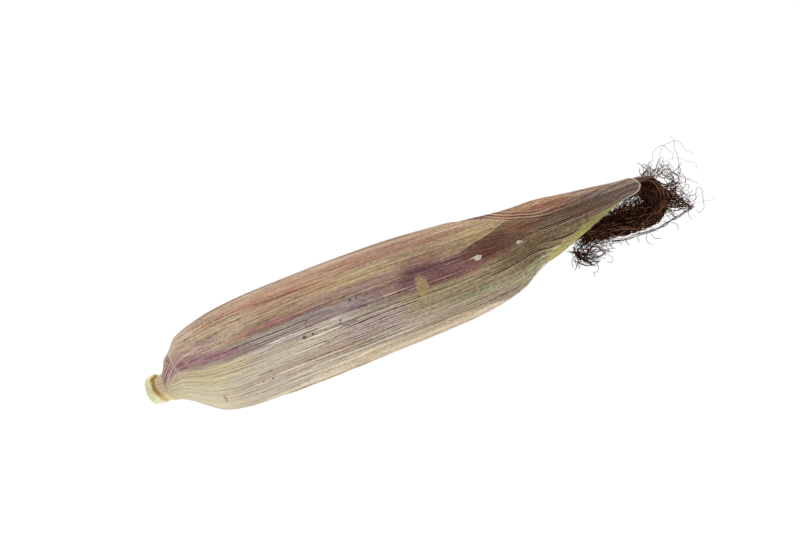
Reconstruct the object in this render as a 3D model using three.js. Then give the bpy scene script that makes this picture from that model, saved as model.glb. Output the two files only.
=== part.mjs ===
// An ear of purple corn in its husk, lying on its side: a cut shank, seven husk leaves that overlap
// round the ear, the ear itself with its rows of kernels, and the dried silk at the tip.
// Millimetres, +Z up. The ear lies along +X, with the cut end of the shank at low X.
import * as THREE from "three";
import { mergeVertices } from "three/addons/utils/BufferGeometryUtils.js";

// ---- Driving dimensions ----
const leafThickness = 0.5;
const leafPitch = 1.2; // from one leaf's outer face to the next one's
const tipPitch = 1; // the leaves press closer together at the tip
const flatDepth = 1.2; // how far the ear's own weight flattens its underside
const bodyHalfHeight = 27.6;
const earStart = 31.5;
const earEnd = 221;
const earRadius = 21.8;
const kernelRows = 14;
const shankEndRadius = 8.2;
const shankAxisY = -1.3;

// ---- How finely the leaves are divided ----
const rowSpans = [[10, 40, 9], [40, 150, 4], [150, 190, 4], [190, 291, 17]]; // [from, to, steps]
const closestRows = 1.5;
const degrees = Math.PI / 180;
const mostSweep = 16 * degrees; // how far an edge may turn from one row to the next

// ---- The husk's outline, as [x, value] ----
// The far side and the near side, seen from above.
const farSide = [
  [10, 7], [12, 8], [14.6, 12.4], [17.4, 14.4], [20, 16.8], [23, 20.2], [27, 22], [33, 23.8],
  [47, 26.5], [65, 27.6], [100, 27.5], [130, 26.8], [165, 23.9], [200, 19.9], [225, 16.3],
  [245, 12.8], [265, 9.8], [277, 8.9], [291, 5.6],
];
const nearSide = [
  [10, -11], [15, -12], [20, -14.6], [28, -20.9], [36, -26.5], [50, -30.3], [80, -31.6],
  [130, -31.9], [165, -32], [190, -30], [203, -27], [210, -23.2], [216, -20.2], [224, -18.1],
  [237, -14], [252, -9], [265, -4.9], [277, -3.4], [291, -1.8],
];
// Half its height, and how high its middle lies.
const halfHeight = [
  [10, 9.8], [15, 12], [20, 16.5], [28, 21.5], [36, 24.5], [50, 26.6], [80, bodyHalfHeight],
  [130, bodyHalfHeight], [165, 26.6], [190, 24.2], [203, 21.8], [215, 18], [224, 15.6], [237, 12.4],
  [252, 10.2], [265, 8], [277, 6.4], [291, 4],
];
const middleHeight = [
  [0, 24.5], [15, 25.3], [36, 26], [60, bodyHalfHeight - flatDepth - 0.2],
  [130, bodyHalfHeight - flatDepth], [165, 26.3], [190, 25.4], [215, 23.6], [237, 21.9], [265, 20.4],
  [291, 19.4],
];

// ---- The leaves, from the outermost inwards ----
// Each station is [x, first edge, second edge], with the edges as degrees round the ear from the top
// towards the far side. Leaves in one layer never share an angle.
const leaves = [
  {
    name: "husk_upper", layer: 0, colour: 0xb28e6c, around: 15,
    stations: [
      [12, 25, 190], [20, 24, 200], [35, 20.5, 208], [54, 17, 210], [85, 16.6, 210],
      [110, 15.4, 210], [138, 15.3, 208], [150, 17, 206], [160, 19.6, 190], [168, 21.4, 160],
      [177, 22.8, 107], [184, 26.4, 78], [190, 31, 71], [195, 35, 65], [200, 38.8, 56.5],
      [207, 42.5, 45.5],
    ],
  },
  {
    name: "husk_front", layer: 1, colour: 0xb9a58c, around: 14,
    stations: [
      [13, -98, 95], [30, -88, 105], [50, -76, 110], [65, -66, 111], [80, -62, 112], [95, -54, 112],
      [150, -52, 112], [168, -52, 112], [180, -56, 112], [192, -66, 112], [203, -76, 112],
      [211, -74, 112], [217, -60, 112], [224, -46, 112], [237, -39, 110], [252, -34, 106],
      [262, -37, 100], [272, -38, 92], [275.5, -36, 86], [277.6, -29, 58], [279, -12, 32],
      [279.6, -3, 12],
    ],
  },
  {
    name: "husk_back", layer: 1, colour: 0xb3a283, around: 10,
    stations: [
      [13, 125, 246], [40, 125, 262], [100, 122, 266], [170, 124, 262], [195, 130, 248],
      [215, 145, 228], [232, 163, 206], [240, 178, 190],
    ],
  },
  {
    name: "husk_lower", layer: 2, colour: 0xc0aa80, around: 12,
    stations: [
      [17, -175, -55], [40, -190, -44], [100, -195, -36], [170, -190, -36], [190, -172, -38],
      [205, -142, -48], [213, -118, -56], [218, -92, -76],
    ],
  },
  {
    name: "husk_inner_upper", layer: 2, colour: 0x8a6a5e, around: 12,
    stations: [
      [17, -25, 120], [60, -26, 145], [180, -26, 150], [220, -20, 150], [250, -5, 140],
      [270, 5, 128], [279, 14, 112], [286, 40, 100], [290.5, 66, 84],
    ],
  },
  {
    name: "husk_inner_lower", layer: 3, colour: 0xb7b465, around: 13,
    stations: [
      [21, -110, 55], [60, -120, 62], [180, -118, 62], [205, -110, 60], [225, -98, 55],
      [245, -96, 50], [258, -92, 40], [265, -84, 20], [269.5, -62, -40],
    ],
  },
  {
    name: "husk_inner_back", layer: 3, colour: 0xb9b478, around: 11,
    stations: [
      [21, 72, 232], [60, 75, 228], [180, 78, 228], [215, 84, 232], [240, 95, 235], [256, 120, 220],
      [262, 150, 190],
    ],
  },
];

// ---- Silk: the middle of the hank with its radius, as [x, y, z, radius] ----
// It leaves the ear's tip, passes out of the husk's mouth, then turns back and lies beside the husk.
const hankRoute = [
  [223.5, 0.3, 23, 1.6], [240, 0.9, 21.8, 2.8], [256, 1.5, 20.5, 3], [270, 2.2, 19, 3],
  [279, 1.6, 17.6, 3.6], [284.2, -0.2, 15.6, 5], [286.2, -4.8, 13.6, 5.9], [285.6, -10, 11, 6.3],
  [281.4, -13, 9, 6.6], [275, -13.4, 7.8, 6.4], [268.6, -13.5, 7.2, 6],
  [261.8, -12.5, 6.8, 6], [255.4, -11.7, 6.4, 5.4], [249.5, -12.4, 5.6, 3.5], [245, -13, 5, 2.2],
  [240.5, -14, 4.4, 1.3],
];
// The two loose tangles, as middle and half sizes.
const tangles = {
  silk_end_tuft: { middle: [303.2, -6.6, 9], half: [7.8, 13.5, 8.7] },
  silk_lower_tuft: { middle: [243.5, -26.4, 4.8], half: [11, 6.6, 4.6] },
};

// A smooth line through [x, value] points, with no overshoot between them.
function through(points) {
  const slopes = points.slice(1).map(([x, y], i) => (y - points[i][1]) / (x - points[i][0]));
  const tangents = points.map((_, i) => {
    const before = slopes[Math.max(i - 1, 0)];
    const after = slopes[Math.min(i, slopes.length - 1)];
    return before * after <= 0 ? 0 : (2 * before * after) / (before + after);
  });
  return (x) => {
    let i = 0;
    while (i < slopes.length - 1 && x > points[i + 1][0]) i += 1;
    const width = points[i + 1][0] - points[i][0];
    const t = Math.min(Math.max((x - points[i][0]) / width, 0), 1);
    const [a, b] = [points[i][1], points[i + 1][1]];
    return (
      a * (1 + 2 * t) * (1 - t) ** 2 +
      b * t * t * (3 - 2 * t) +
      width * t * (1 - t) * (tangents[i] * (1 - t) - tangents[i + 1] * t)
    );
  };
}

const farSideAt = through(farSide);
const nearSideAt = through(nearSide);
const halfHeightAt = through(halfHeight);
const middleHeightAt = through(middleHeight);
const middleYAt = (x) => (farSideAt(x) + nearSideAt(x)) / 2;
const halfWidthAt = (x) => (farSideAt(x) - nearSideAt(x)) / 2;

// Places along the ear where all leaves have a row of points.
const sharedRows = rowSpans.flatMap(([start, end, steps]) =>
  Array.from({ length: steps }, (_, i) => start + ((end - start) * i) / steps),
);

// How deep a layer's outer face lies under the outline. Past the outermost leaf's tip, the layers
// below it come up by one, and they lie closer together.
function depthOf(layer, x) {
  const rise = THREE.MathUtils.smoothstep(x, 205, 232);
  const pitch = THREE.MathUtils.lerp(leafPitch, tipPitch, rise);
  return pitch * Math.max(layer - rise, 0);
}

// A point at a place along the ear, an angle round it and a depth under the outline.
function onHusk(x, angle, depth) {
  const y = middleYAt(x) + (halfWidthAt(x) - depth) * Math.sin(angle);
  const z = middleHeightAt(x) + (halfHeightAt(x) - depth) * Math.cos(angle);
  return [x, y, Math.max(z, depth)];
}

// A closed mesh from shared points and triangles.
function meshGeometry(points, triangles) {
  const geometry = new THREE.BufferGeometry();
  geometry.setAttribute("position", new THREE.Float32BufferAttribute(points.flat(), 3));
  geometry.setIndex(triangles.flat());
  return geometry;
}

// Where a leaf has its rows of points: at its own stations, and between them at places that all
// leaves share, so that two leaves stay the same distance apart where the husk curves. Where an
// edge sweeps round the ear, more rows keep the faces from cutting the curve short.
function rowsOf(stations, edges) {
  const own = stations.map(([x]) => x);
  const shared = sharedRows.filter(
    (x) => x > own[0] && x < own[own.length - 1] && own.every((y) => Math.abs(x - y) > closestRows),
  );
  const rows = [...own, ...shared].sort((a, b) => a - b);
  const between = rows.slice(1).flatMap((next, i) => {
    const sweep = Math.max(...edges.map((edge) => Math.abs(edge(next) - edge(rows[i]))));
    const steps = Math.max(1, Math.ceil(sweep / mostSweep));
    return Array.from({ length: steps }, (_, k) => rows[i] + ((next - rows[i]) * (k + 1)) / steps);
  });
  return [rows[0], ...between];
}

// One leaf: an outer and an inner face over the same grid, closed by a rim.
function leafGeometry({ layer, stations, around }) {
  const firstEdge = through(stations.map(([x, a]) => [x, a * degrees]));
  const secondEdge = through(stations.map(([x, , b]) => [x, b * degrees]));
  const rows = rowsOf(stations, [firstEdge, secondEdge]);
  const along = rows.length - 1;
  const points = [];
  const triangles = [];
  for (const inside of [0, leafThickness]) {
    for (const x of rows) {
      for (let j = 0; j <= around; j += 1) {
        const angle = THREE.MathUtils.lerp(firstEdge(x), secondEdge(x), j / around);
        points.push(onHusk(x, angle, depthOf(layer, x) + inside));
      }
    }
  }
  const inner = points.length / 2;
  const at = (i, j) => i * (around + 1) + j;
  const distance = (a, b) => Math.hypot(...points[a].map((value, axis) => value - points[b][axis]));
  // Four corners make two triangles, split along the shorter diagonal to stay close to the curve.
  const quad = (a, b, c, d) => {
    const split = distance(a, c) < distance(b, d) ? [[a, b, c], [a, c, d]] : [[a, b, d], [b, c, d]];
    triangles.push(...split);
  };
  for (let i = 0; i < along; i += 1) {
    for (let j = 0; j < around; j += 1) {
      const corners = [at(i, j), at(i + 1, j), at(i + 1, j + 1), at(i, j + 1)];
      quad(...corners);
      quad(...corners.map((k) => k + inner).reverse());
    }
    quad(at(i, 0), at(i, 0) + inner, at(i + 1, 0) + inner, at(i + 1, 0));
    quad(at(i + 1, around), at(i + 1, around) + inner, at(i, around) + inner, at(i, around));
  }
  for (let j = 0; j < around; j += 1) {
    quad(at(0, j + 1), at(0, j + 1) + inner, at(0, j) + inner, at(0, j));
    quad(at(along, j), at(along, j) + inner, at(along, j + 1) + inner, at(along, j + 1));
  }
  return meshGeometry(points, triangles);
}

// A closed body through rings of points that all have the same count, with a point at each end.
function ringedGeometry(first, rings, last) {
  const count = rings[0].length;
  const points = [first, ...rings.flat(), last];
  const at = (i, j) => 1 + i * count + (j % count);
  const triangles = [];
  for (let j = 0; j < count; j += 1) {
    triangles.push([0, at(0, j), at(0, j + 1)]);
    for (let i = 0; i < rings.length - 1; i += 1) {
      triangles.push([at(i, j), at(i + 1, j), at(i + 1, j + 1)]);
      triangles.push([at(i, j), at(i + 1, j + 1), at(i, j + 1)]);
    }
    triangles.push([points.length - 1, at(rings.length - 1, j + 1), at(rings.length - 1, j)]);
  }
  return meshGeometry(points, triangles);
}

// The ear: a tapered body with one groove between each two rows of kernels.
function earGeometry() {
  const radiusAt = through([
    [earStart, 9], [36, 16], [46, 19.6], [70, earRadius], [130, earRadius], [170, 19.4],
    [195, 16.4], [209, 12], [217, 7.4], [earEnd, 2.4],
  ]);
  const ringCount = 15;
  const grooveDepth = 0.9;
  const rings = [];
  for (let i = 0; i <= ringCount; i += 1) {
    const even = i / ringCount;
    const x = earStart + (earEnd - earStart) * (even - 0.1 * Math.sin(2 * Math.PI * even));
    const ring = [];
    for (let j = 0; j < 2 * kernelRows; j += 1) {
      const angle = (j * Math.PI) / kernelRows;
      const radius = radiusAt(x) - (j % 2) * Math.min(grooveDepth, 0.08 * radiusAt(x));
      ring.push([
        x,
        middleYAt(x) + radius * Math.sin(angle),
        middleHeightAt(x) + radius * Math.cos(angle),
      ]);
    }
    rings.push(ring);
  }
  const endPoint = (x) => [x, middleYAt(x), middleHeightAt(x)];
  return ringedGeometry(endPoint(earStart), rings, [earEnd + 1, ...endPoint(earEnd).slice(1)]);
}

// The shank: a cut stub with a rounded lip and the ring scar of a leaf, then the stalk inside the husk.
function shankGeometry() {
  const lip = new THREE.Path();
  lip.moveTo(0, 0);
  lip.lineTo(shankEndRadius - 3.6, 0);
  lip.quadraticCurveTo(shankEndRadius - 0.4, 0.4, shankEndRadius, 4);
  lip.quadraticCurveTo(shankEndRadius, 6, shankEndRadius - 0.6, 6.8);
  lip.quadraticCurveTo(shankEndRadius - 0.8, 7.6, shankEndRadius, 8.6);
  lip.lineTo(shankEndRadius + 0.5, 11);
  lip.lineTo(shankEndRadius - 1.1, 11.6);
  lip.lineTo(shankEndRadius - 1.1, earStart - 2);
  lip.lineTo(shankEndRadius - 2.3, earStart - 0.5);
  lip.lineTo(0, earStart - 0.5);
  const lathe = new THREE.LatheGeometry(lip.getPoints(5), 22);
  lathe.rotateZ(-Math.PI / 2);
  lathe.deleteAttribute("normal");
  lathe.deleteAttribute("uv");
  return mergeVertices(lathe);
}

// The hank: rings square to a smooth route, flattened where it lies on the surface below.
function hankGeometry() {
  const route = new THREE.CatmullRomCurve3(
    hankRoute.map(([x, y, z]) => new THREE.Vector3(x, y, z)),
  );
  const radiusAt = through(hankRoute.map(([, , , radius], i) => [i / (hankRoute.length - 1), radius]));
  const [ringCount, sides] = [34, 12];
  const frames = route.computeFrenetFrames(ringCount, false);
  const rings = [];
  for (let i = 0; i <= ringCount; i += 1) {
    // Frames are spaced by length along the route, and the radii by its points.
    const share = route.getUtoTmapping(i / ringCount);
    const middle = route.getPoint(share);
    const ring = [];
    for (let j = 0; j < sides; j += 1) {
      const angle = (2 * Math.PI * j) / sides;
      const point = middle
        .clone()
        .addScaledVector(frames.normals[i], radiusAt(share) * Math.cos(angle))
        .addScaledVector(frames.binormals[i], -radiusAt(share) * Math.sin(angle));
      ring.push([point.x, point.y, Math.max(point.z, 0.2)]);
    }
    rings.push(ring);
  }
  return ringedGeometry(hankRoute[0].slice(0, 3), rings, hankRoute[hankRoute.length - 1].slice(0, 3));
}

// A loose tangle: a lumpy, flattened ball.
function tangleGeometry({ half }) {
  const ball = new THREE.IcosahedronGeometry(1, 3);
  ball.deleteAttribute("normal");
  ball.deleteAttribute("uv");
  const geometry = mergeVertices(ball);
  const position = geometry.attributes.position;
  for (let i = 0; i < position.count; i += 1) {
    const [x, y, z] = [position.getX(i), position.getY(i), position.getZ(i)];
    const lump = 1 - 0.07 * (1 + Math.sin(5 * x + 2 * z) * Math.cos(4 * y - x));
    position.setXYZ(i, x * half[0] * lump, y * half[1] * lump, z * half[2] * lump);
  }
  return geometry;
}

function matte(color, roughness) {
  return new THREE.MeshStandardMaterial({ color, roughness, metalness: 0 });
}

const corn = new THREE.Group();
const inPlace = new THREE.Group();
corn.add(inPlace);

function addPiece(name, geometry, material) {
  const mesh = new THREE.Mesh(geometry, material);
  mesh.name = name;
  inPlace.add(mesh);
  return mesh;
}

for (const leaf of leaves) {
  addPiece(leaf.name, leafGeometry(leaf), matte(leaf.colour, 0.6));
}
addPiece("ear", earGeometry(), matte(0x4a2238, 0.35));
const shank = addPiece("shank", shankGeometry(), matte(0xd3cf93, 0.55));
shank.position.set(0, shankAxisY, middleHeightAt(5));
addPiece("silk_hank", hankGeometry(), matte(0x2b150c, 0.5));
for (const [name, tangle] of Object.entries(tangles)) {
  addPiece(name, tangleGeometry(tangle), matte(0x35200f, 0.55)).position.set(...tangle.middle);
}

// The origin is under the middle of the whole object, on the surface it lies on.
const box = new THREE.Box3().setFromObject(inPlace);
inPlace.position.set(-(box.min.x + box.max.x) / 2, -(box.min.y + box.max.y) / 2, -box.min.z);

export default corn;
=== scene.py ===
import math

import bpy
import numpy as np
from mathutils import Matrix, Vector


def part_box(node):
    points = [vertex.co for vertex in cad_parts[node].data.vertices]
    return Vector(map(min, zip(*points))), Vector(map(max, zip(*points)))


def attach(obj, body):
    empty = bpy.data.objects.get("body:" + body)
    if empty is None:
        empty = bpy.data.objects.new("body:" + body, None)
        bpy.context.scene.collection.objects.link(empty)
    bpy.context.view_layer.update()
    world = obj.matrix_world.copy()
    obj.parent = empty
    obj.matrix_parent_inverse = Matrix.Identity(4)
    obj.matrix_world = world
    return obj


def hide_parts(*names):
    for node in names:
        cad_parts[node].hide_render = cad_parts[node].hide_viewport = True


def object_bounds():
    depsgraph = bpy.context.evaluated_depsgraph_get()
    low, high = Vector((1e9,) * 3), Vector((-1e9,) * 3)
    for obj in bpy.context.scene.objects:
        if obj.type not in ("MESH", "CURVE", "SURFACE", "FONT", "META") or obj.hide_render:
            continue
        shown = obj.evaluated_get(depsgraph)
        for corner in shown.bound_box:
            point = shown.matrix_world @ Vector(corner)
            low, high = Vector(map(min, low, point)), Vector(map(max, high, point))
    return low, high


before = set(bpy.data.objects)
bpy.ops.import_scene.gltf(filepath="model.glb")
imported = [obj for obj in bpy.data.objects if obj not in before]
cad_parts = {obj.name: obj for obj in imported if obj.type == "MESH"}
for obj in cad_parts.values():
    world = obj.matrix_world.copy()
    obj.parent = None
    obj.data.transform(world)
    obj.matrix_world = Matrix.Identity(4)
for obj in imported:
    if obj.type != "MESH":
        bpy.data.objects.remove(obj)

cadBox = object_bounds()
mm = 0.001
shankAxis = -1.3  # the shank's middle lies this far to the near side of the ear's line, in mm
shankLow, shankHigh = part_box("shank")
cutEnd = Vector((shankLow.x, (shankLow.y + shankHigh.y) / 2 - shankAxis * mm, 0))
print("frame loaded:", len(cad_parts), "nodes")

# Places are in mm: along the ear from its cut end, across it from its line, and up.


def toWorld(points):
    return np.asarray(points, float) * mm + np.array(cutEnd)


def smoothLine(points):  # through every point, with no overshoot between two of them
    xs, ys = np.array(points, float).T
    slopes = np.diff(ys) / np.diff(xs)
    before = np.concatenate([slopes[:1], slopes])
    after = np.concatenate([slopes, slopes[-1:]])
    turning = before * after <= 0
    tangents = np.where(turning, 0, 2 * before * after / np.where(turning, 1, before + after))

    def at(x):
        x = np.clip(x, xs[0], xs[-1])
        i = np.clip(np.searchsorted(xs, x, side="right") - 1, 0, len(slopes) - 1)
        width = xs[i + 1] - xs[i]
        t = (x - xs[i]) / width
        ends = ys[i] * (1 + 2 * t) * (1 - t) ** 2 + ys[i + 1] * t * t * (3 - 2 * t)
        return ends + width * t * (1 - t) * (tangents[i] * (1 - t) - tangents[i + 1] * t)

    return at


def ease(low, high, x):  # 0 below low, 1 above high, smooth between
    t = np.clip((np.asarray(x, float) - low) / (high - low), 0, 1)
    return t * t * (3 - 2 * t)


def ripple(seed, x, y, reachX, reachY, waves=9):  # smooth uneven heights, about -1 to 1
    rng = np.random.default_rng(seed)
    total = np.zeros(np.broadcast(x, y).shape)
    for _ in range(waves):
        turn, phase = rng.uniform(0, 2 * math.pi, 2)
        size = rng.uniform(0.6, 1.7)
        wave = x * math.cos(turn) / (reachX * size) + y * math.sin(turn) / (reachY * size)
        total = total + np.sin(2 * math.pi * wave + phase)
    return total / math.sqrt(waves)


def curve(controls, share):  # places on a smooth curve through the points; share runs from 0 to 1
    c = np.array(controls, float)
    c = np.vstack([2 * c[0] - c[1], c, 2 * c[-1] - c[-2]])
    s = np.clip(share, 0, 1) * (len(c) - 3)
    i = np.minimum(s.astype(int), len(c) - 4)
    t = (s - i)[..., None]
    p, q, r, w = (c[i + k] for k in range(4))
    return q + t * ((r - p) + t * ((2 * p - 5 * q + 4 * r - w) + t * (3 * q - p - 3 * r + w))) / 2


def closedRings(rows, columns):  # the faces of a solid made of rings, with a flat face at both ends
    faces = [
        [i * columns + j, i * columns + (j + 1) % columns,
         (i + 1) * columns + (j + 1) % columns, (i + 1) * columns + j]
        for i in range(rows - 1) for j in range(columns)
    ]
    faces.append(list(reversed(range(columns))))
    faces.append([(rows - 1) * columns + j for j in range(columns)])
    return faces


def newObject(name, data):
    made = bpy.data.objects.new(name, data)
    bpy.context.scene.collection.objects.link(made)
    return made


def newPiece(name, node, points, faces, values, maps=()):  # values and maps: one entry for each point
    mesh = bpy.data.meshes.new(name)
    mesh.from_pydata(toWorld(points).tolist(), [], faces)
    corner = np.empty(len(mesh.loops), np.int32)
    mesh.loops.foreach_get("vertex_index", corner)
    for mapName, places in maps:
        layer = mesh.uv_layers.new(name=mapName, do_init=False)
        layer.uv.foreach_set("vector", np.asarray(places, np.float32)[corner].ravel())
    for valueName, numbers in values:
        attribute = mesh.attributes.new(valueName, "FLOAT", "POINT")
        attribute.data.foreach_set("value", np.ascontiguousarray(numbers, np.float32))
    mesh.polygons.foreach_set("use_smooth", np.ones(len(mesh.polygons), bool))
    mesh.update()
    piece = newObject(name, mesh)
    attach(piece, "root")
    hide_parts(node)
    print("piece", name, len(mesh.polygons), "faces")
    return piece


def operator(operation, reflected=False):
    def act(self, other):
        first, second = (other, self) if reflected else (self, other)
        return self.finish.node("ShaderNodeMath", {"operation": operation}, {0: first, 1: second})

    return act


class Wire:  # a socket of a finish's nodes that sums can be written with
    def __init__(self, finish, socket):
        self.finish, self.socket = finish, socket

    __add__, __radd__ = operator("ADD"), operator("ADD", True)
    __sub__, __rsub__ = operator("SUBTRACT"), operator("SUBTRACT", True)
    __mul__, __rmul__ = operator("MULTIPLY"), operator("MULTIPLY", True)
    __truediv__, __rtruediv__ = operator("DIVIDE"), operator("DIVIDE", True)


def ink(text):  # a colour such as "c8b79c" as the linear numbers that sockets take
    parts = [int(text[i:i + 2], 16) / 255 for i in (0, 2, 4)]
    return [p / 12.92 if p <= 0.04045 else ((p + 0.055) / 1.055) ** 2.4 for p in parts] + [1]


class Finish:  # a material, and the colour that it has so far
    def __init__(self, name):
        self.material = bpy.data.materials.new(name)
        self.material.use_nodes = True
        self.nodes = self.material.node_tree.nodes
        self.nodes.clear()
        self.shader = self.nodes.new("ShaderNodeBsdfPrincipled")
        self.node("ShaderNodeOutputMaterial", {}, {"Surface": Wire(self, self.shader.outputs[0])}, None)

    def node(self, kind, settings, sockets, output=0):
        made = self.nodes.new(kind)
        for key, value in settings.items():
            setattr(made, key, value)
        for key, value in sockets.items():
            self.plug(made.inputs[key], value)
        return None if output is None else Wire(self, made.outputs[output])

    def plug(self, socket, value):  # value: a wire, an ink, a number or a vector
        if isinstance(value, Wire):
            self.material.node_tree.links.new(value.socket, socket)
        else:
            socket.default_value = ink(value) if isinstance(value, str) else value

    def value(self, name):  # a number that the mesh carries at each of its points
        return self.node("ShaderNodeAttribute", {"attribute_name": name}, {}, "Fac")

    def fade(self, value, low, high):  # 0 at low, 1 at high, smooth between; high may be the smaller one
        settings = {"interpolation_type": "SMOOTHSTEP", "clamp": False}
        return self.node("ShaderNodeMapRange", settings, {"Value": value, "From Min": low, "From Max": high})

    def off(self, value):  # its size without its sign
        return self.node("ShaderNodeMath", {"operation": "ABSOLUTE"}, {0: value})

    def wave(self, value):
        return self.node("ShaderNodeMath", {"operation": "COSINE"}, {0: value})

    def grain(self, x, y, z, detail=2.0, roughness=0.55):
        place = self.node("ShaderNodeCombineXYZ", {}, {0: x, 1: y, 2: z})
        sockets = {"Vector": place, "Scale": 1.0, "Detail": detail, "Roughness": roughness}
        return self.node("ShaderNodeTexNoise", {}, sockets)

    def speckle(self, scale, detail=2.0):  # the same in all directions, at this many grains a metre
        place = self.node("ShaderNodeTexCoord", {}, {}, "Object")
        return self.node("ShaderNodeTexNoise", {}, {"Vector": place, "Scale": scale, "Detail": detail})

    def blend(self, factor, first, second):
        sockets = {0: factor, 6: first, 7: second}
        return self.node("ShaderNodeMix", {"data_type": "RGBA"}, sockets, 2)

    def over(self, factor, cover):  # lays another colour over the finish's colour so far
        self.colour = self.blend(factor, self.colour, cover)

    def tinted(self, factor, tint):  # multiplies the colour so far by the tint
        settings = {"data_type": "RGBA", "blend_type": "MULTIPLY"}
        self.colour = self.node("ShaderNodeMix", settings, {0: factor, 6: self.colour, 7: tint}, 2)

    def scaled(self, amount):  # makes the colour so far lighter or darker
        self.colour = self.node("ShaderNodeHueSaturation", {}, {"Value": amount, "Color": self.colour})

    def use(self, piece, roughness, height, bumpDepth, **fixed):
        self.plug(self.shader.inputs["Base Color"], self.colour)
        self.plug(self.shader.inputs["Roughness"], roughness)
        bump = self.node("ShaderNodeBump", {}, {"Height": height, "Distance": bumpDepth * mm})
        self.plug(self.shader.inputs["Normal"], bump)
        for key, value in fixed.items():
            self.shader.inputs[key.replace("_", " ")].default_value = value
        piece.data.materials.clear()
        piece.data.materials.append(self.material)


# The husk's outline: the two sides seen from above, and half its height and its middle's height.
husk = {
    "farSide": [
        (10, 7), (12, 8), (14.6, 12.4), (17.4, 14.4), (20, 16.8), (23, 20.2), (27, 22), (33, 23.8),
        (47, 26.5), (65, 27.6), (100, 27.5), (130, 26.8), (165, 23.9), (200, 19.9), (225, 16.3), (245, 12.8),
        (265, 9.8), (277, 8.9), (291, 5.6),
    ],
    "nearSide": [
        (10, -11), (15, -12), (20, -14.6), (28, -20.9), (36, -26.5), (50, -30.3), (80, -31.6),
        (130, -31.9), (165, -32), (190, -30), (203, -27), (210, -23.2), (216, -20.2), (224, -18.1),
        (237, -14), (252, -9), (265, -4.9), (277, -3.4), (291, -1.8),
    ],
    "halfHeight": [
        (10, 9.8), (15, 12), (20, 16.5), (28, 21.5), (36, 24.5), (50, 26.6), (80, 27.6), (130, 27.6),
        (165, 26.6), (190, 24.2), (203, 21.8), (215, 18), (224, 15.6), (237, 12.4), (252, 10.2),
        (265, 8), (277, 6.4), (291, 4),
    ],
    "middleHeight": [
        (0, 24.5), (15, 25.3), (36, 26), (60, 26.2), (130, 26.4), (165, 26.3), (190, 25.4),
        (215, 23.6), (237, 21.9), (265, 20.4), (291, 19.4),
    ],
    "pitch": 1.2,  # from one leaf's face to the next one's
    "tipPitch": 1.0,
    "thickness": 0.36,
    "marginThickness": 0.13,
    "marginGap": 0.16,  # between a margin and the leaf that it settles on
    "fullRadius": 28,  # where the ear is thinner than this, its ribs and lumps are lower
    "lumps": 0.25,  # how uneven the whole husk is
    "fray": 0.9,  # how far a leaf's edge strays, in degrees
    "ribHeight": 0.09,
    "ribTurn": 4.3,  # degrees round the ear from one rib to the next
}
farAt, nearAt, halfHeightAt, middleHeightAt = (
    smoothLine(husk[key]) for key in ("farSide", "nearSide", "halfHeight", "middleHeight")
)


def middleAt(along):
    return (farAt(along) + nearAt(along)) / 2


def halfWidthAt(along):
    return (farAt(along) - nearAt(along)) / 2


def depthOf(layer, along):
    rise = ease(205, 232, along)
    pitch = husk["pitch"] + (husk["tipPitch"] - husk["pitch"]) * rise
    return pitch * np.maximum(layer - rise, 0)


def onHusk(along, turn, depth):  # turn: degrees round the ear from the top, to the far side
    angle = np.radians(turn)
    across = middleAt(along) + (halfWidthAt(along) - depth) * np.sin(angle)
    up = middleHeightAt(along) + (halfHeightAt(along) - depth) * np.cos(angle)
    lowest = np.maximum(depth, 0.02)  # the leaves lie on each other on the ground too
    return np.stack([along, across, np.maximum(up, lowest)], -1)


def closeSheet(faces, count):  # the same faces turned over, and a rim between the two
    rim = set()
    for face in faces:
        for a, b in zip(face, face[1:] + face[:1]):
            if (b, a) in rim:
                rim.discard((b, a))
            else:
                rim.add((a, b))
    under = [[i + count for i in reversed(face)] for face in faces]
    return faces + under + [[b, a, a + count, b + count] for a, b in sorted(rim)]


def leafFaces(first, last, rows, columns):  # a grid whose rows end at the leaf's own edges
    faces = []
    for i in range(rows - 1):
        for j in range(columns - 1):
            corners = []
            for row, column in ((i, j), (i + 1, j), (i + 1, j + 1), (i, j + 1)):
                spot = row * columns + min(max(column, first[row]), last[row])
                if spot not in corners:
                    corners.append(spot)
            if len(corners) > 2:
                faces.append(corners)
    return faces


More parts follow.
